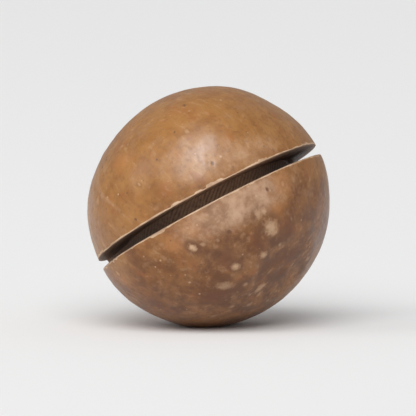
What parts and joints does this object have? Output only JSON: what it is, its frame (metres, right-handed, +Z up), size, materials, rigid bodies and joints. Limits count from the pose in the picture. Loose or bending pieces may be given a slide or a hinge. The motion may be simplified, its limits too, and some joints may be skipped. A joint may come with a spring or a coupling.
{
  "type": "macadamia nut in shell",
  "caption": "Roundish hard-shelled nut with a saw slit running two thirds of the way round, made to be opened by twisting a blade in the slit. Rests on a small flat spot.",
  "frame": {"origin": "on the resting surface, straight below the nut's middle, in the plane of the small flat resting spot", "axes": "+Z up, away from the resting spot; -Y the front, where the middle of the slit faces; +X to the right seen from the front"},
  "size_m": [0.0236, 0.0234, 0.0232],
  "materials": {
    "nutshell": "satin"
  },
  "bodies": {
    "root": {"macadamia_nut": "nutshell"}
  },
  "joints": []
}
